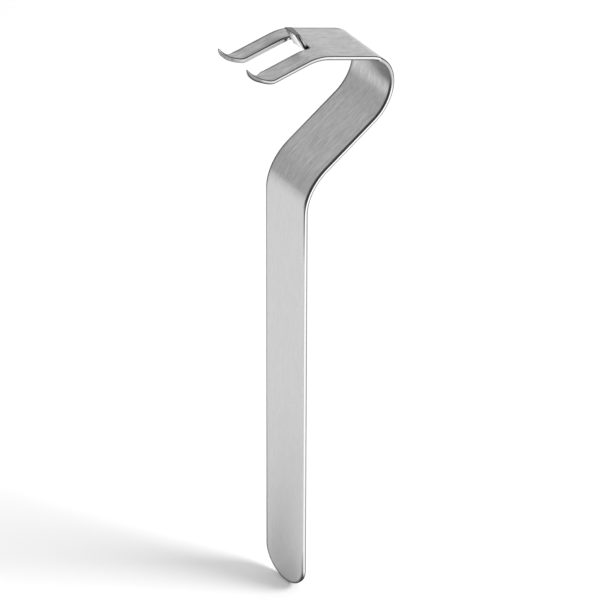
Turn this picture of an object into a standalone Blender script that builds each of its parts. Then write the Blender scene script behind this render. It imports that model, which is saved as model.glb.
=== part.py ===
"""Forked chin retractor: a strip of sheet steel bent into a hook, with a short prong in the root of its fork."""

import math

import bmesh
import bpy
from mathutils import Vector

MM = 0.001

# The sheet and the strip cut from it, in millimetres
SHEET = 1.2
WIDTH = 17.0
EDGE_ROUND = 0.45
EDGE_STEPS = 2
END_RADIUS = WIDTH / 2
END_STEPS = 28

# The strip's centre line, from the handle's lower end to the points
HANDLE = 136.7
HEEL_RADIUS = 13.9
HEEL_ANGLE = 61.1
RISE = 18.7
CROWN_RADIUS = 12.0
CROWN_ANGLE = 127.0
BRIDGE = 16.5
FORK_RADIUS = 15.4
FORK_ANGLE = 27.9
TINE_STRAIGHT = 10.3
CURL_RADIUS = 7.8
CURL_ANGLE = 76.5
BEND_STEP = 5.0

# The fork: two tines, and the slot between them, which is cut a little nearer the far edge
# and whose side walls lean in towards the underside
SLOT_WIDTH = 7.2
SLOT_OFFSET = 0.55
WALL_LEAN = 0.5
LEAN_START = 2.0
ROOT_SETBACK = 2.7
ROOT_CORNER = 0.8
CORNER_STEPS = 4

# Each tine's ground end: a shoulder down to a slender claw, whose point leans to the far side
CLAW_LENGTH = 5.0
CLAW_WIDTH = 1.7
SHOULDER_LENGTH = 4.5
TAPER_STEPS = 16
POINT_WIDTH = 0.3
POINT_SHIFT = 0.15
THIN_LENGTH = 3.4
POINT_THICKNESS = 0.3

# The short prong that stands in the slot's root
PRONG_WIDTH = 4.7
PRONG_LEAN = 40.5
PRONG_HEIGHT = 3.25
PRONG_WEDGE = 1.0
PRONG_EDGE = 0.15
FOOT_STEPS = 6
JOINT_GAP = 0.3

# The hand holds the handle this far above its lower end
GRIP_HEIGHT = 60.0

STEEL = (0.62, 0.62, 0.63, 1.0)
PRONG_STEEL = (0.45, 0.45, 0.46, 1.0)


def bends():
    """Straight runs and bends along the centre line: a length, or a radius and a turn in degrees."""
    return [
        ("straight", HANDLE),
        ("bend", HEEL_RADIUS, -HEEL_ANGLE),
        ("straight", RISE),
        ("bend", CROWN_RADIUS, CROWN_ANGLE),
        ("straight", BRIDGE),
        ("bend", FORK_RADIUS, FORK_ANGLE),
        ("straight", TINE_STRAIGHT),
        ("bend", CURL_RADIUS, -CURL_ANGLE),
    ]


def run_length(run):
    return run[1] if run[0] == "straight" else run[1] * math.radians(abs(run[2]))


def start_of(index):
    """Distance along the strip at which a run starts."""
    return sum(run_length(run) for run in bends()[:index])


LENGTH = start_of(8)
FORK_START = start_of(5)
SLOT_ROOT = FORK_START + ROOT_SETBACK


def centre_point(along):
    """Place (x, z) and heading in radians of the centre line, a given distance from the lower end."""
    place, heading = Vector((0.0, -GRIP_HEIGHT)), math.pi / 2
    left = along
    runs = bends()
    for run in runs:
        last = run is runs[-1]
        step = left if last else min(left, run_length(run))
        if run[0] == "straight":
            place = place + step * Vector((math.cos(heading), math.sin(heading)))
        else:
            turn = step / run[1] * math.copysign(1.0, run[2])
            side = math.copysign(run[1], run[2])
            centre = place + side * Vector((-math.sin(heading), math.cos(heading)))
            heading += turn
            place = centre - side * Vector((-math.sin(heading), math.cos(heading)))
        left -= step
        if left <= 0:
            break
    return place, heading


def arc(centre, radius, start, end, steps):
    """Points of an arc on the flat strip, angles in degrees."""
    return [
        (centre[0] + radius * math.cos(math.radians(a)), centre[1] + radius * math.sin(math.radians(a)))
        for a in [start + (end - start) * i / steps for i in range(steps + 1)]
    ]


def flat_outline():
    """Outline of the flat strip: (along, across), with a round lower end and a square-ended fork."""
    half, near, far = WIDTH / 2, SLOT_OFFSET - SLOT_WIDTH / 2, SLOT_OFFSET + SLOT_WIDTH / 2
    points = arc((END_RADIUS, half - END_RADIUS), END_RADIUS, 90, 180, END_STEPS // 2)
    points += arc((END_RADIUS, END_RADIUS - half), END_RADIUS, 180, 270, END_STEPS // 2)
    points += [(LENGTH, -half), (LENGTH, near)]
    points += arc((SLOT_ROOT + ROOT_CORNER, near + ROOT_CORNER), ROOT_CORNER, 270, 180, CORNER_STEPS)
    points += arc((SLOT_ROOT + ROOT_CORNER, far - ROOT_CORNER), ROOT_CORNER, 180, 90, CORNER_STEPS)
    points += [(LENGTH, far), (LENGTH, half)]
    kept = []
    for point in points:
        if not kept or math.dist(point, kept[-1]) > 1e-6:
            kept.append(point)
    return kept


def stations():
    """Distances along the strip at which it is cut across, close together where it bends or narrows."""
    found = []
    for index, run in enumerate(bends()):
        start, length = start_of(index), run_length(run)
        steps = 1 if run[0] == "straight" else math.ceil(abs(run[2]) / BEND_STEP)
        found += [start + length * i / steps for i in range(1, steps + 1)]
    ground = CLAW_LENGTH + SHOULDER_LENGTH
    found += [LENGTH - ground * i / TAPER_STEPS for i in range(1, TAPER_STEPS + 1)]
    return sorted(s for s in set(found) if END_RADIUS < s < LENGTH - 0.01)


def eased(low, high, value, straight=False):
    """How far a value is from low to high, 0 to 1, along a straight line or an S-curve."""
    t = min(max((value - low) / (high - low), 0.0), 1.0)
    return t if straight else t * t * (3 - 2 * t)


def narrowed(along, across, lift):
    """The flat strip ground to its points: each tine narrows about its middle, and thins near its end."""
    if along <= SLOT_ROOT + ROOT_CORNER:
        return across, lift
    outer = math.copysign(WIDTH / 2, across - SLOT_OFFSET)
    inner = SLOT_OFFSET + math.copysign(SLOT_WIDTH / 2, across - SLOT_OFFSET)
    full, middle = abs(outer - inner), (outer + inner) / 2
    lean = WALL_LEAN * eased(SLOT_ROOT + ROOT_CORNER, SLOT_ROOT + ROOT_CORNER + LEAN_START, along)
    across += lean * (0.5 - lift / SHEET) * (outer - across) / full * math.copysign(1.0, inner - outer)
    claw = POINT_WIDTH + (CLAW_WIDTH - POINT_WIDTH) * eased(0.0, CLAW_LENGTH, LENGTH - along, straight=True)
    shoulder = eased(CLAW_LENGTH, CLAW_LENGTH + SHOULDER_LENGTH, LENGTH - along)
    width = (claw + (full - claw) * shoulder) / full
    thin = POINT_THICKNESS / SHEET
    thickness = thin + (1 - thin) * math.sin(eased(0.0, THIN_LENGTH, LENGTH - along, straight=True) * math.pi / 2)
    return middle + (across - middle) * width + POINT_SHIFT * (1 - width), lift * thickness


def bent(along, across, lift):
    """A point of the flat strip carried to the bent one: lift is towards the hook's outside."""
    across, lift = narrowed(along, across, lift)
    place, heading = centre_point(along)
    x = place.x + lift * math.sin(heading)
    z = place.y - lift * math.cos(heading)
    return Vector((x, across, z)) * MM


def steel(name, colour, roughness):
    material = bpy.data.materials.new(name)
    material.use_nodes = True
    shader = material.node_tree.nodes["Principled BSDF"]
    shader.inputs["Base Color"].default_value = colour
    shader.inputs["Metallic"].default_value = 1.0
    shader.inputs["Roughness"].default_value = roughness
    return material


def finished(name, mesh_edit, material):
    """An object made from an edit mesh, with its faces pointing out and shaded smooth up to 30 degrees."""
    bmesh.ops.triangulate(mesh_edit, faces=mesh_edit.faces)
    bmesh.ops.recalc_face_normals(mesh_edit, faces=mesh_edit.faces)
    mesh = bpy.data.meshes.new(name)
    mesh_edit.to_mesh(mesh)
    mesh_edit.free()
    mesh.shade_smooth()
    mesh.set_sharp_from_angle(angle=math.radians(30))
    mesh.materials.append(material)
    part = bpy.data.objects.new(name, mesh)
    bpy.context.collection.objects.link(part)
    return part


def blade():
    """The strip: cut flat, its rims rounded, then narrowed at the points and bent."""
    strip = bmesh.new()
    lower = strip.faces.new([strip.verts.new((s, y, -SHEET / 2)) for s, y in flat_outline()])
    sheet = bmesh.ops.extrude_face_region(strip, geom=[lower])["geom"]
    upper = [v for v in sheet if isinstance(v, bmesh.types.BMVert)]
    bmesh.ops.translate(strip, verts=upper, vec=(0, 0, SHEET))
    bmesh.ops.recalc_face_normals(strip, faces=strip.faces)
    rims = [e for e in strip.edges if abs(e.verts[0].co.z - e.verts[1].co.z) < 1e-6]
    bmesh.ops.bevel(
        strip, geom=rims, offset=EDGE_ROUND, segments=EDGE_STEPS, profile=0.5, affect="EDGES", material=-1
    )
    for s in stations():
        everything = strip.verts[:] + strip.edges[:] + strip.faces[:]
        bmesh.ops.bisect_plane(strip, geom=everything, dist=1e-5, plane_co=(s, 0, 0), plane_no=(1, 0, 0))
    bmesh.ops.triangulate(strip, faces=strip.faces)
    for vert in strip.verts:
        vert.co = bent(*vert.co)
    return finished("blade", strip, steel("brushed_steel", STEEL, 0.35))


def centre_prong():
    """A short tongue as thick as the sheet: its foot meets the slot's root, and its end is ground level
    with the bridge. The end is thicker towards the far side, where its back is less filed away."""
    root, heading = centre_point(SLOT_ROOT + JOINT_GAP)
    outward = Vector((math.sin(heading), -math.cos(heading)))
    bridge_end, bridge_heading = centre_point(FORK_START)
    level = Vector((math.sin(bridge_heading), -math.cos(bridge_heading)))
    rise = bridge_heading - math.radians(PRONG_LEAN)
    stem = Vector((math.cos(rise), math.sin(rise)))
    top = SHEET / 2 + PRONG_HEIGHT
    foot_back = root + outward * SHEET / 2

    def up_to_level(point):
        """Where a line along the prong from this point meets the ground end."""
        return point + stem * ((top - (point - bridge_end).dot(level)) / stem.dot(level))

    def under(angle):
        """A point of the rounded underside of the foot, for a heading of the sheet there."""
        return foot_back - SHEET * Vector((math.sin(angle), -math.cos(angle)))

    turns = [heading + (rise - heading) * i / FOOT_STEPS for i in range(FOOT_STEPS + 1)]
    profile = [under(angle) for angle in turns]
    profile += [up_to_level(profile[-1]), up_to_level(foot_back), foot_back]
    plate = bmesh.new()
    side = plate.faces.new([plate.verts.new((p.x, -PRONG_WIDTH / 2, p.y)) for p in profile])
    grown = bmesh.ops.extrude_face_region(plate, geom=[side])["geom"]
    bmesh.ops.translate(
        plate, verts=[v for v in grown if isinstance(v, bmesh.types.BMVert)], vec=(0, PRONG_WIDTH, 0)
    )
    thick = up_to_level(foot_back)
    for vert in plate.verts:
        if vert.co.y > 0 and (Vector((vert.co.x, vert.co.z)) - thick).length < 1e-4:
            vert.co.x -= PRONG_WEDGE * math.cos(bridge_heading)
            vert.co.z -= PRONG_WEDGE * math.sin(bridge_heading)
    bmesh.ops.recalc_face_normals(plate, faces=plate.faces)
    corners = [e for e in plate.edges if e.calc_face_angle(0.0) > math.radians(30)]
    bmesh.ops.bevel(
        plate, geom=corners, offset=PRONG_EDGE, segments=EDGE_STEPS, profile=0.5, affect="EDGES", material=-1
    )
    bmesh.ops.scale(plate, verts=plate.verts, vec=(MM, MM, MM))
    return finished("centre_prong", plate, steel("ground_steel", PRONG_STEEL, 0.25))


for leftover in list(bpy.data.objects):
    bpy.data.objects.remove(leftover, do_unlink=True)
blade()
centre_prong()
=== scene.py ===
import math

import bmesh
import bpy
from mathutils import Matrix, Vector


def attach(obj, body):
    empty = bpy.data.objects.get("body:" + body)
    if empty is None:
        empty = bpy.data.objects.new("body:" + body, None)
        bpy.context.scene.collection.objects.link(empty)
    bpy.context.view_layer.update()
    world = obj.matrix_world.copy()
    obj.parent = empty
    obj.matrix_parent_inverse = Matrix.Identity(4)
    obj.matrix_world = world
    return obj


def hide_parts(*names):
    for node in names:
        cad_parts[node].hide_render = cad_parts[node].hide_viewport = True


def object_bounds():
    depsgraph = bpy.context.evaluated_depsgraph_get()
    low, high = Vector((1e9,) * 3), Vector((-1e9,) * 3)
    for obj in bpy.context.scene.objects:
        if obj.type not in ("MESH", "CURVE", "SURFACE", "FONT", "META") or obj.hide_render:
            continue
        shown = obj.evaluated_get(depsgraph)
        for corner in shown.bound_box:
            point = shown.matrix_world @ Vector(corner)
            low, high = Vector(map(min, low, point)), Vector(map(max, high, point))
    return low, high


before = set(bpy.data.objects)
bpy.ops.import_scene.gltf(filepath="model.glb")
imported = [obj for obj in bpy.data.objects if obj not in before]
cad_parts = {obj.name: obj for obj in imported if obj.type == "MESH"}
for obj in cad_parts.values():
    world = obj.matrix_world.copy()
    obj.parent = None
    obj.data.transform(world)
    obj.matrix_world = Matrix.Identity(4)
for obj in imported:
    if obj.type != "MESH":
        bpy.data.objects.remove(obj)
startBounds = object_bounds()
scene = bpy.context.scene
print("stage: frame loaded")


# Shader helpers

def newMaterial(name):
    material = bpy.data.materials.new(name)
    material.use_nodes = True
    return material, material.node_tree


def mathNode(tree, operation, first, second, clamp=False):
    node = tree.nodes.new("ShaderNodeMath")
    node.operation = operation
    node.use_clamp = clamp
    for slot, value in enumerate((first, second)):
        if isinstance(value, (int, float)):
            node.inputs[slot].default_value = value
        else:
            tree.links.new(value, node.inputs[slot])
    return node.outputs[0]


def plus(tree, first, second):
    return mathNode(tree, "ADD", first, second)


def times(tree, first, second):
    return mathNode(tree, "MULTIPLY", first, second)


def oneMinus(tree, value):
    return mathNode(tree, "SUBTRACT", 1.0, value)


def blended(tree, value, share, other):
    kept = times(tree, value, oneMinus(tree, share))
    return mathNode(tree, "ADD", kept, times(tree, share, other), clamp=True)


def stretchedNoise(tree, scale, detail):
    place = tree.nodes.new("ShaderNodeTexCoord")
    stretch = tree.nodes.new("ShaderNodeMapping")
    stretch.inputs["Scale"].default_value = scale
    tree.links.new(place.outputs["Object"], stretch.inputs["Vector"])
    noise = tree.nodes.new("ShaderNodeTexNoise")
    noise.inputs["Scale"].default_value = 1.0
    noise.inputs["Detail"].default_value = detail
    tree.links.new(stretch.outputs["Vector"], noise.inputs["Vector"])
    return mathNode(tree, "SUBTRACT", noise.outputs["Fac"], 0.5)


def attribute(tree, name):
    node = tree.nodes.new("ShaderNodeAttribute")
    node.attribute_name = name
    return node.outputs["Fac"]


# Brushed steel: fine lines along the strip, sides painted bright as a painted reflection, rims painted dark
# as painted shade where the two meet

steelSettings = {
    "faceGrey": 0.65,
    "sideGrey": 0.94,
    "rimGrey": 0.05,
    "groundGrey": 0.38,
    "recessGrey": 0.005,
    "fineLines": (40.0, 5200.0, 40.0),
    "fineShare": 0.14,
    "broadLines": (280.0, 2300.0, 280.0),
    "broadShare": 0.15,
    "lineDetail": 2.0,
    "patches": (700.0, 1100.0, 700.0),
    "patchShare": 0.08,
    "patchDetail": 3.0,
    "wornShare": 3.0,
    "paintedShadeShare": 0.24,
    "specular": 0.5,
    "roughness": 0.17,
    "wornRoughness": 0.21,
    "roughnessShare": 0.25,
    "sideRoughness": 0.22,
    "stretch": 0.6,
    "across": (0.02, 1.0, 0.02),
    "lineDepth": 0.000006,
}
toneNames = ("side", "rim", "ground", "recess", "worn", "paintedShade")


def steelMarks(tree, settings, fine, side, worn):
    broad = stretchedNoise(tree, settings["broadLines"], settings["lineDetail"])
    patches = stretchedNoise(tree, settings["patches"], settings["patchDetail"])
    lines = plus(tree, times(tree, fine, settings["fineShare"]), times(tree, broad, settings["broadShare"]))
    marks = plus(tree, lines, times(tree, patches, settings["patchShare"]))
    marks = times(tree, marks, oneMinus(tree, side))
    return times(tree, marks, plus(tree, times(tree, worn, settings["wornShare"]), 1.0))


def brushedSteel(name, settings, shade=1.0):
    material, tree = newMaterial(name)
    nodes, links = tree.nodes, tree.links
    shader = nodes["Principled BSDF"]
    side, rim, ground, recess, worn, paintedShade = (attribute(tree, part) for part in toneNames)
    fine = stretchedNoise(tree, settings["fineLines"], settings["lineDetail"])
    marks = steelMarks(tree, settings, fine, side, worn)
    face = settings["faceGrey"] * shade
    # The sheet's sides are painted bright here: a painted reflection (on the prong, the front face's
    # painted highlight)
    grey = plus(tree, times(tree, side, settings["sideGrey"] - face), face)
    grey = blended(tree, grey, ground, settings["groundGrey"])
    grey = times(tree, grey, plus(tree, marks, 1.0))
    # Painted shade darkens the faces here
    grey = times(tree, grey, oneMinus(tree, times(tree, paintedShade, settings["paintedShadeShare"])))
    # Rims painted dark: painted shade
    grey = blended(tree, grey, rim, settings["rimGrey"])
    # The slot's root recess is painted near-black: a painted shadow
    grey = blended(tree, grey, recess, settings["recessGrey"])
    colour = nodes.new("ShaderNodeCombineColor")
    for channel in ("Red", "Green", "Blue"):
        links.new(grey, colour.inputs[channel])
    links.new(colour.outputs["Color"], shader.inputs["Base Color"])
    metal = mathNode(tree, "SUBTRACT", 1.0, mathNode(tree, "MAXIMUM", rim, recess), clamp=True)
    links.new(metal, shader.inputs["Metallic"])
    links.new(times(tree, metal, settings["specular"]), shader.inputs["Specular IOR Level"])
    rough = plus(tree, times(tree, fine, settings["roughnessShare"]), settings["roughness"])
    rough = plus(tree, rough, times(tree, worn, settings["wornRoughness"]))
    links.new(blended(tree, rough, side, settings["sideRoughness"]), shader.inputs["Roughness"])
    links.new(times(tree, oneMinus(tree, side), settings["stretch"]), shader.inputs["Anisotropic"])
    tangent = nodes.new("ShaderNodeCombineXYZ")
    for axis, value in zip("XYZ", settings["across"]):
        tangent.inputs[axis].default_value = value
    links.new(tangent.outputs["Vector"], shader.inputs["Tangent"])
    bump = nodes.new("ShaderNodeBump")
    bump.inputs["Distance"].default_value = settings["lineDepth"]
    links.new(times(tree, fine, oneMinus(tree, side)), bump.inputs["Height"])
    links.new(bump.outputs["Normal"], shader.inputs["Normal"])
    return material


# Mesh helpers, for meshes drawn in millimetres and shown in metres

meshSettings = {
    "millimetre": 0.001,
    "sharpAngle": 40.0,
    "flatWeight": 100,
    "nearlySame": 0.0001,
    "nearlyLevel": 0.000001,
    "cutReach": 0.00001,
}


def eased(low, high, value, straight=False):
    t = min(max((value - low) / (high - low), 0.0), 1.0)
    return t if straight else t * t * (3 - 2 * t)


def forwardOf(heading):
    return Vector((math.cos(heading), math.sin(heading)))


def outwardOf(heading):
    return Vector((math.sin(heading), -math.cos(heading)))


def standing(flat):
    return Vector((flat.x, 0.0, flat.y))


def sectionOf(vert):
    return Vector((vert.co.x, vert.co.z))


def extrude(editMesh, points, offset):
    face = editMesh.faces.new([editMesh.verts.new(point) for point in points])
    added = bmesh.ops.extrude_face_region(editMesh, geom=[face])["geom"]
    moved = [v for v in added if isinstance(v, bmesh.types.BMVert)]
    bmesh.ops.translate(editMesh, verts=moved, vec=offset)


def roundOff(editMesh, edges, radius, steps):
    bmesh.ops.bevel(editMesh, geom=edges, offset=radius, segments=steps, profile=0.5,
                    affect="EDGES", material=-1)
    editMesh.normal_update()


def shownPiece(name, editMesh, node, material):
    bmesh.ops.recalc_face_normals(editMesh, faces=editMesh.faces)
    mesh = bpy.data.meshes.new(name)
    editMesh.to_mesh(mesh)
    editMesh.free()
    mesh.shade_smooth()
    mesh.set_sharp_from_angle(angle=math.radians(meshSettings["sharpAngle"]))
    mesh.materials.append(material)
    piece = bpy.data.objects.new(name, mesh)
    scene.collection.objects.link(piece)
    weighted = piece.modifiers.new("flatFaces", "WEIGHTED_NORMAL")
    weighted.keep_sharp = True
    weighted.weight = meshSettings["flatWeight"]
    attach(piece, "root")
    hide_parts(node)


# The blade, in millimetres: handle, heel, rise, crown, bridge, fork bend, tines and their curl

bladeSettings = {
    "sheet": 1.2,
    "width": 17.0,
    "rim": 0.25,
    "rimSteps": 6,
    "flatNormal": 0.999,
    "broadArea": 100.0,
    "edgeMark": 2.0,
    "edgeRings": ((1.0, 0.42), (0.0, 0.25)),
    "sideRow": 0.15,
    "endSteps": 64,
    "bends": (
        ("straight", 136.7, 0.0),
        ("bend", 13.9, -61.1),
        ("straight", 18.7, 0.0),
        ("bend", 12.0, 127.0),
        ("straight", 16.5, 0.0),
        ("bend", 15.4, 27.9),
        ("straight", 10.3, 0.0),
        ("bend", 7.8, -76.5),
    ),
    "heelRun": 1,
    "crownRun": 3,
    "bridgeRun": 4,
    "forkRun": 5,
    "bendStep": 1.5,
    "leastSteps": 8,
    "endMargin": 0.01,
    "slotWidth": 7.2,
    "slotOffset": 0.55,
    "wallLean": 0.5,
    "leanStart": 2.0,
    "rootSetback": 2.7,
    "rootCorner": 0.8,
    "cornerSteps": 10,
    "clawLength": 5.0,
    "clawWidth": 1.7,
    "shoulderLength": 4.5,
    "taperSteps": 48,
    "pointWidth": 0.3,
    "pointShift": 0.15,
    "thinLength": 3.4,
    "pointThickness": 0.3,
    "gripHeight": 60.0,
}


def runLength(run):
    kind, size, angle = run
    return size if kind == "straight" else size * math.radians(abs(angle))


def startOf(settings, index):
    return sum(runLength(run) for run in settings["bends"][:index])


stripLength = startOf(bladeSettings, len(bladeSettings["bends"]))
heelStart, crownStart, bridgeStart, forkStart = (
    startOf(bladeSettings, bladeSettings[run]) for run in ("heelRun", "crownRun", "bridgeRun", "forkRun"))
slotRoot = forkStart + bladeSettings["rootSetback"]


def centrePoint(settings, along):
    place, heading, left = Vector((0.0, -settings["gripHeight"])), math.pi / 2, along
    for index, run in enumerate(settings["bends"]):
        kind, size, angle = run
        last = index == len(settings["bends"]) - 1
        step = left if last else min(left, runLength(run))
        if kind == "straight":
            place = place + step * forwardOf(heading)
        else:
            radius = math.copysign(size, angle)
            centre = place - radius * outwardOf(heading)
            heading += step / radius
            place = centre + radius * outwardOf(heading)
        left -= step
        if left <= 0:
            break
    return place, heading


def arc(centre, radius, start, end, steps):
    turns = [math.radians(start + (end - start) * i / steps) for i in range(steps + 1)]
    return [(centre[0] + radius * math.cos(a), centre[1] + radius * math.sin(a)) for a in turns]


def flatOutline(settings):
    half, offset, slot = settings["width"] / 2, settings["slotOffset"], settings["slotWidth"] / 2
    corner, steps = settings["rootCorner"], settings["cornerSteps"]
    points = arc((half, 0.0), half, 90, 270, settings["endSteps"])
    points += [(stripLength, -half), (stripLength, offset - slot)]
    points += arc((slotRoot + corner, offset - slot + corner), corner, 270, 180, steps)
    points += arc((slotRoot + corner, offset + slot - corner), corner, 180, 90, steps)
    return points + [(stripLength, offset + slot), (stripLength, half)]


def stations(settings):
    found = []
    for index, run in enumerate(settings["bends"]):
        start, length, angle = startOf(settings, index), runLength(run), run[2]
        steps = max(settings["leastSteps"], math.ceil(abs(angle) / settings["bendStep"]))
        found += [start + length * i / steps for i in range(1, steps + 1)]
    ground, steps = settings["clawLength"] + settings["shoulderLength"], settings["taperSteps"]
    found += [stripLength - ground * i / steps for i in range(1, steps + 1)]
    return sorted(s for s in set(found) if settings["width"] / 2 < s < stripLength - settings["endMargin"])


def narrowed(settings, along, across, lift):
    rooted = slotRoot + settings["rootCorner"]
    if along <= rooted:
        return across, lift
    offset, slot = settings["slotOffset"], settings["slotWidth"] / 2
    outer = math.copysign(settings["width"] / 2, across - offset)
    inner = offset + math.copysign(slot, across - offset)
    full, middle = abs(outer - inner), (outer + inner) / 2
    lean = settings["wallLean"] * eased(rooted, rooted + settings["leanStart"], along)
    lean *= math.copysign(1.0, inner - outer)
    across += lean * (0.5 - lift / settings["sheet"]) * (outer - across) / full
    left = stripLength - along
    point = settings["pointWidth"]
    claw = point + (settings["clawWidth"] - point) * eased(0.0, settings["clawLength"], left, straight=True)
    shoulder = eased(settings["clawLength"], settings["clawLength"] + settings["shoulderLength"], left)
    width = (claw + (full - claw) * shoulder) / full
    thin = settings["pointThickness"] / settings["sheet"]
    turn = eased(0.0, settings["thinLength"], left, straight=True) * math.pi / 2
    thickness = thin + (1 - thin) * math.sin(turn)
    return middle + (across - middle) * width + settings["pointShift"] * (1 - width), lift * thickness


def bent(settings, along, across, lift):
    across, lift = narrowed(settings, along, across, lift)
    place, heading = centrePoint(settings, along)
    bentPlace = Vector((place.x + lift * math.sin(heading), across, place.y - lift * math.cos(heading)))
    return bentPlace * meshSettings["millimetre"]


# The blade's tones, mostly painted light and shade, with zones in millimetres past a place and turns from 0
# on a face to 1 on a side

bladeTones = {
    "slotMargin": 0.3,
    "rootMargin": 1.0,
    "faceMark": 1.999,
    "facesSwap": -3.0,
    "tipZone": (6.0, 14.0),
    "gripZone": (10.0, 80.0),
    "nearCorner": (6.0, 8.5),
    "farCorner": (0.8, 2.6),
    "thickFrom": (1.0, 5.0),
    "thickTo": (10.0, 16.0),
    "nearRim": 0.1,
    "farRim": 0.8,
    "fullRimZone": (-10.0, 3.0),
    "crownFade": 0.6,
    "crownFadeZone": (12.0, 16.0),
    "nearEdge": 0.5,
    "thickBand": 0.95,
    "tipBand": 0.45,
    "gripBand": 0.3,
    "farBand": 0.25,
    "farBandZone": (0.0, 3.0),
    "awaySide": 0.5,
    "awaySideInSlot": 0.1,
    "awayRim": 0.5,
    "awayRimInSlot": 0.3,
    "awayTurn": (0.0, 0.2),
    "edgeTurn": (0.0, 0.15),
    "sideTurn": (0.8, 1.0),
    "brightTurn": (0.7, 1.0),
    "groundZone": (0.5, 2.0),
    "recessTurn": (0.2, 0.6),
    "recessZone": (0.5, 1.4),
    "wornZone": (0.0, 15.0),
    "tineWorn": 0.35,
    "tineWornZone": (0.0, 8.0),
    "bridgeShade": 0.35,
    "bridgeShadeFrom": 20.0,
    "tineShade": 0.65,
    "tineShadeZone": (-3.0, 7.0),
    "clawShade": 0.9,
    "clawShadeZone": (-1.0, 2.0),
    "crownShadeFrom": (9.0, 14.0),
    "crownShadeTo": (22.0, 26.0),
    "nearCrownShade": 2.1,
    "farCrownShade": 0.3,
}


def growing(place, zone, value):
    return eased(place + zone[0], place + zone[1], value)


def fading(place, zone, value):
    return 1 - growing(place, zone, value)


def rimTurn(settings, lift):
    depth = (abs(lift) - settings["sheet"] / 2 + settings["rim"]) / settings["rim"]
    return math.acos(min(max(depth, 0.0), 1.0)) / (math.pi / 2)


def onSlotWall(settings, tones, along, across):
    reach = settings["slotWidth"] / 2 + tones["slotMargin"]
    return abs(across - settings["slotOffset"]) < reach and along > slotRoot - tones["rootMargin"]


# Painted shade: dark lines painted along the rims and bands beside them, darker near the handle's end,
# along the near inner edge from heel to crown, and on rims turned away
def rimTone(settings, tones, place, edge):
    along, across, lift = place
    turn, inSlot = rimTurn(settings, lift), onSlotWall(settings, tones, along, across)
    farEdge = (across > 0) != inSlot
    turnedAway = (lift > 0) == (along < bridgeStart + tones["facesSwap"])
    tip = fading(0.0, tones["tipZone"], along)
    grip = farEdge * fading(0.0, tones["gripZone"], along)
    corner = fading(0.0, tones["nearCorner" if across < 0 else "farCorner"], along)
    thick = growing(heelStart, tones["thickFrom"], along) * fading(crownStart, tones["thickTo"], along)
    thick *= lift < 0 and across < 0
    faint = tones["farRim"] if farEdge else tones["nearRim"]
    faint += (1 - faint) * growing(heelStart, tones["fullRimZone"], along)
    strength = 1.0 if lift > 0 else max(faint, tip, grip)
    strength *= 1 - tones["crownFade"] * growing(crownStart, tones["crownFadeZone"], along) * (lift < 0)
    atEdge = max(1.0 if farEdge else tones["nearEdge"] + (1 - tones["nearEdge"]) * thick, tip)
    band = max(tones["thickBand"] * thick, tones["tipBand"] * tip, tones["gripBand"] * grip,
               tones["farBand"] * farEdge * growing(heelStart, tones["farBandZone"], along))
    if edge < tones["faceMark"]:
        return strength * atEdge * max(edge - 1, 0) + band * (1 - abs(edge - 1))
    if abs(lift) < (settings["sideRow"] + settings["sheet"] / 2 - settings["rim"]) / 2:
        return max(turnedAway * (tones["awaySideInSlot"] if inSlot else 1.0) * tones["awaySide"], corner)
    if turnedAway:
        share = tones["awayRim"] + (1 - tones["awayRim"]) * eased(*tones["awayTurn"], turn)
        return share * (tones["awayRimInSlot"] if inSlot else 1.0)
    share = atEdge + (1 - atEdge) * eased(*tones["edgeTurn"], turn)
    return max(strength * share * (1 - eased(*tones["sideTurn"], turn)), corner)


# Painted shade: the blade painted darker from the crown's end over the bridge, more on the tines, on the
# claws' faces and on the crown's inner face
def paintedShadeTone(settings, tones, place, side):
    along, across, lift = place
    bridge = tones["bridgeShade"] * eased(crownStart + tones["bridgeShadeFrom"], bridgeStart, along)
    tine = tones["tineShade"] * growing(forkStart, tones["tineShadeZone"], along)
    claw = fading(settings["clawLength"], tones["clawShadeZone"], stripLength - along)
    # Painted shade on the crown's inner face, much stronger on the near half
    crownShade = tones["nearCrownShade"] if across < 0 else tones["farCrownShade"]
    crownShade *= growing(crownStart, tones["crownShadeFrom"], along) * (lift < 0)
    crownShade *= fading(crownStart, tones["crownShadeTo"], along)
    return bridge + tine + crownShade + tones["clawShade"] * claw * (1 - side)


def bladeTone(settings, tones, place, edge):
    along, across, lift = place
    turn, inSlot = rimTurn(settings, lift), onSlotWall(settings, tones, along, across)
    # Painted reflection: how far a point lies on the sheet's brightly painted side
    side = eased(*tones["brightTurn"], turn)
    worn = growing(heelStart, tones["wornZone"], along)
    return {
        "side": side,
        "rim": rimTone(settings, tones, place, edge),
        "ground": side * fading(settings["clawLength"], tones["groundZone"], stripLength - along),
        # Painted shadow on the slot's walls at its root
        "recess": eased(*tones["recessTurn"], turn) * fading(slotRoot, tones["recessZone"], along) * inSlot,
        "worn": worn + tones["tineWorn"] * growing(forkStart, tones["tineWornZone"], along),
        "paintedShade": paintedShadeTone(settings, tones, place, side),
    }


def roundedStrip(settings):
    strip = bmesh.new()
    half = settings["sheet"] / 2
    extrude(strip, [(along, across, -half) for along, across in flatOutline(settings)], (0, 0, 2 * half))
    bmesh.ops.recalc_face_normals(strip, faces=strip.faces)
    level = meshSettings["nearlyLevel"]
    rims = [e for e in strip.edges if abs(e.verts[0].co.z - e.verts[1].co.z) < level]
    roundOff(strip, rims, settings["rim"], settings["rimSteps"])
    return strip


def markedEdges(settings, strip):
    upright, area = settings["flatNormal"], settings["broadArea"]
    broad = [f for f in strip.faces if abs(f.normal.z) > upright and f.calc_area() > area]
    edgeLayer = strip.verts.layers.float.new("edge")
    for vert in strip.verts:
        vert[edgeLayer] = settings["edgeMark"]
    for mark, inset in settings["edgeRings"]:
        bmesh.ops.inset_region(strip, faces=broad, thickness=inset, use_even_offset=True)
        for vert in set(v for face in broad for v in face.verts):
            vert[edgeLayer] = mark
    return edgeLayer


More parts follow.
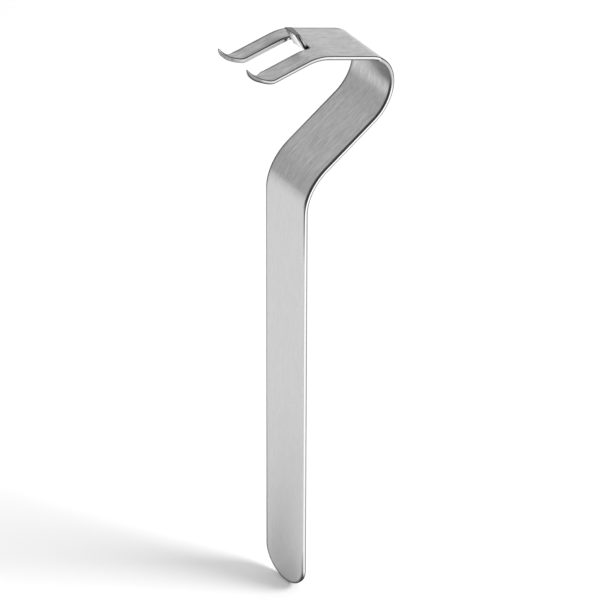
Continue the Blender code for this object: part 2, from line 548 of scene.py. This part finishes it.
def bladeSkin(settings, tones, material):
    strip = roundedStrip(settings)
    edgeLayer = markedEdges(settings, strip)
    cuts = [((s, 0, 0), (1, 0, 0)) for s in stations(settings)]
    cuts += [((0, 0, lift), (0, 0, 1)) for lift in (-settings["sideRow"], settings["sideRow"])]
    for place, facing in cuts:
        everything = strip.verts[:] + strip.edges[:] + strip.faces[:]
        bmesh.ops.bisect_plane(strip, geom=everything, dist=meshSettings["cutReach"], plane_co=place,
                               plane_no=facing)
    paint = {part: strip.verts.layers.float.new(part) for part in toneNames}
    for vert in strip.verts:
        for part, value in bladeTone(settings, tones, vert.co, vert[edgeLayer]).items():
            vert[paint[part]] = value
        vert.co = bent(settings, *vert.co)
    shownPiece("bladeSkin", strip, "blade", material)


bladeSteel = brushedSteel("bladeSteel", steelSettings)
bladeSkin(bladeSettings, bladeTones, bladeSteel)
print("stage: blade built")


# The short prong that stands in the slot's root

prongSettings = {
    "width": 4.7,
    "lean": 40.5,
    "height": 3.25,
    "wedge": 1.0,
    "edge": 0.15,
    "edgeSteps": 3,
    "cornerAngle": 30.0,
    "footSteps": 16,
    "footReach": 1.02,
    "gap": 0.3,
    "broadArea": 2.0,
    "outline": 0.28,
    "facing": 0.9,
    "footDark": (-1.5, 2.0),
    "nearDark": 0.8,
    "nearDarkZone": (0.6, 2.6),
    "farBright": 0.3,
    "endGrey": 0.22,
    "shade": 0.3,
}


def prongPlan(settings, blade):
    root, heading = centrePoint(blade, slotRoot + settings["gap"])
    bridgeEnd, bridgeHeading = centrePoint(blade, forkStart)
    rise = bridgeHeading - math.radians(settings["lean"])
    stem, level = forwardOf(rise), outwardOf(bridgeHeading)
    footBack = root + outwardOf(heading) * blade["sheet"] / 2
    top = blade["sheet"] / 2 + settings["height"]

    def upToLevel(point):
        return point + stem * ((top - (point - bridgeEnd).dot(level)) / stem.dot(level))

    steps = settings["footSteps"]
    turns = [heading + (rise - heading) * i / steps for i in range(steps + 1)]
    profile = [footBack - blade["sheet"] * outwardOf(turn) for turn in turns]
    profile += [upToLevel(profile[-1]), upToLevel(footBack), footBack]
    return profile, rise, bridgeHeading


# Painted light on the prong: dark outlines round its faces, painted shade at its foot's far part and at the
# near side's foot, and a painted highlight on its front face, dimmer on the far half
def prongTones(settings, blade, plate, footBack, rise, bridgeHeading):
    broad = [f for f in plate.faces if f.calc_area() > settings["broadArea"]]
    bmesh.ops.inset_individual(plate, faces=broad, thickness=settings["outline"], use_even_offset=True)
    stem, front, topward = forwardOf(rise), standing(outwardOf(rise)), standing(outwardOf(bridgeHeading))
    front = -front if front.x > 0 else front
    paint = {part: plate.verts.layers.float.new(part) for part in ("side", "rim", "ground", "worn")}
    for vert in plate.verts:
        onFoot = (sectionOf(vert) - footBack).length < settings["footReach"] * blade["sheet"]
        vert[paint["rim"]] = eased(*settings["footDark"], vert.co.y) if onFoot else 1.0
        vert[paint["side"]] = 1.0 if onFoot else 0.0
        vert[paint["worn"]] = 1.0
    for face in broad:
        isFront, isTop = (face.normal.dot(way) > settings["facing"] for way in (front, topward))
        isNear = face.normal.y < -settings["facing"]
        for vert in face.verts:
            raised = (sectionOf(vert) - footBack).dot(stem)
            atFoot = fading(0.0, settings["nearDarkZone"], raised)
            vert[paint["rim"]] = settings["nearDark"] * isNear * atFoot
            vert[paint["side"]] = isFront * (settings["farBright"] if vert.co.y > 0 else 1.0)
            vert[paint["ground"]] = 1.0 if isTop else 0.0


def prongSkin(settings, blade, material):
    profile, rise, bridgeHeading = prongPlan(settings, blade)
    footBack, farCorner = profile[-1], profile[-2]
    wedge = settings["wedge"] * standing(forwardOf(bridgeHeading))
    plate = bmesh.new()
    extrude(plate, [(p.x, -settings["width"] / 2, p.y) for p in profile], (0, settings["width"], 0))
    for vert in plate.verts:
        if vert.co.y > 0 and (sectionOf(vert) - farCorner).length < meshSettings["nearlySame"]:
            vert.co -= wedge
    bmesh.ops.recalc_face_normals(plate, faces=plate.faces)
    corners = [e for e in plate.edges if e.calc_face_angle(0.0) > math.radians(settings["cornerAngle"])]
    roundOff(plate, corners, settings["edge"], settings["edgeSteps"])
    prongTones(settings, blade, plate, footBack, rise, bridgeHeading)
    bmesh.ops.scale(plate, verts=plate.verts, vec=(meshSettings["millimetre"],) * 3)
    shownPiece("prongSkin", plate, "centre_prong", material)


# The prong's steel is painted darker throughout as painted shade; its end face has its own grey
prongGreys = dict(steelSettings, groundGrey=prongSettings["endGrey"])
prongSteel = brushedSteel("prongSteel", prongGreys, shade=prongSettings["shade"])
prongSkin(prongSettings, bladeSettings, prongSteel)
print("stage: prong built")


# Camera at the photo's angle

cameraSettings = {
    "azimuth": 38.6,
    "elevation": 38.58,
    "roll": 0.23,
    "distance": 1.478,
    "lens": 320.7,
    "sensor": 36.0,
    "clipEnd": 20.0,
    "target": (0.0, 0.0, 0.0376),
    "aimRight": 0.00372,
    "aimUp": 0.00376,
    "pictureSize": 600,
}


def photoCamera(settings):
    az, el, roll = (math.radians(settings[key]) for key in ("azimuth", "elevation", "roll"))
    away = Vector((-math.sin(az) * math.cos(el), -math.cos(az) * math.cos(el), math.sin(el)))
    level = Vector((math.cos(az), -math.sin(az), 0.0))
    upright = away.cross(level)
    right = level * math.cos(roll) + upright * math.sin(roll)
    up = upright * math.cos(roll) - level * math.sin(roll)
    aim = Vector(settings["target"]) + right * settings["aimRight"] + up * settings["aimUp"]
    data = bpy.data.cameras.new("photoCamera")
    data.lens = settings["lens"]
    data.sensor_width = settings["sensor"]
    data.clip_end = settings["clipEnd"]
    camera = bpy.data.objects.new("photoCamera", data)
    scene.collection.objects.link(camera)
    turned = Matrix((right, up, away)).transposed().to_4x4()
    camera.matrix_world = Matrix.Translation(aim + away * settings["distance"]) @ turned
    scene.camera = camera
    scene.render.resolution_x = settings["pictureSize"]
    scene.render.resolution_y = settings["pictureSize"]


photoCamera(cameraSettings)
scene.render.engine = "CYCLES"
scene.view_settings.view_transform = "Standard"
print("stage: camera set")


# Pale floor, a white studio brighter at the front and the right, and one soft lamp at the front right

studioSettings = {
    "floorSize": 8.0,
    "floorGap": 0.0002,
    "floorGrey": 0.97,
    "floorRoughness": 0.9,
    "skyMiddle": 0.62,
    "skyRight": 0.16,
    "skyFront": 0.38,
    "lampFrom": (0.75, -0.94, 1.0),
    "lampSize": 0.6,
    "lampPower": 16.5,
}


def paleFloor(settings, lowest):
    height = lowest - settings["floorGap"]
    bpy.ops.mesh.primitive_plane_add(size=settings["floorSize"], location=(0, 0, height))
    floor = bpy.context.object
    floor.name = "floor"
    material, tree = newMaterial("paleFloor")
    shader, grey = tree.nodes["Principled BSDF"], settings["floorGrey"]
    shader.inputs["Base Color"].default_value = (grey, grey, grey, 1.0)
    shader.inputs["Roughness"].default_value = settings["floorRoughness"]
    shader.inputs["Specular IOR Level"].default_value = 0.0
    floor.data.materials.append(material)


def softStudio(settings):
    world = bpy.data.worlds.new("studio")
    scene.world = world
    world.use_nodes = True
    tree = world.node_tree
    background = tree.nodes["Background"]
    place = tree.nodes.new("ShaderNodeTexCoord")
    split = tree.nodes.new("ShaderNodeSeparateXYZ")
    tree.links.new(place.outputs["Generated"], split.inputs["Vector"])
    bright = plus(tree, times(tree, split.outputs["X"], settings["skyRight"]), settings["skyMiddle"])
    ahead = mathNode(tree, "MAXIMUM", times(tree, split.outputs["Y"], -1.0), 0.0)
    bright = plus(tree, bright, times(tree, ahead, settings["skyFront"]))
    tree.links.new(bright, background.inputs["Strength"])
    background.inputs["Color"].default_value = (1.0, 1.0, 1.0, 1.0)


def softLamp(settings):
    data = bpy.data.lights.new("softLamp", "AREA")
    data.shape = "DISK"
    data.size = settings["lampSize"]
    data.energy = settings["lampPower"]
    lamp = bpy.data.objects.new("softLamp", data)
    lamp.location = settings["lampFrom"]
    lamp.rotation_euler = Vector(settings["lampFrom"]).to_track_quat("Z", "Y").to_euler()
    scene.collection.objects.link(lamp)


paleFloor(studioSettings, startBounds[0].z)
softStudio(studioSettings)
softLamp(studioSettings)
print("stage: studio lit")
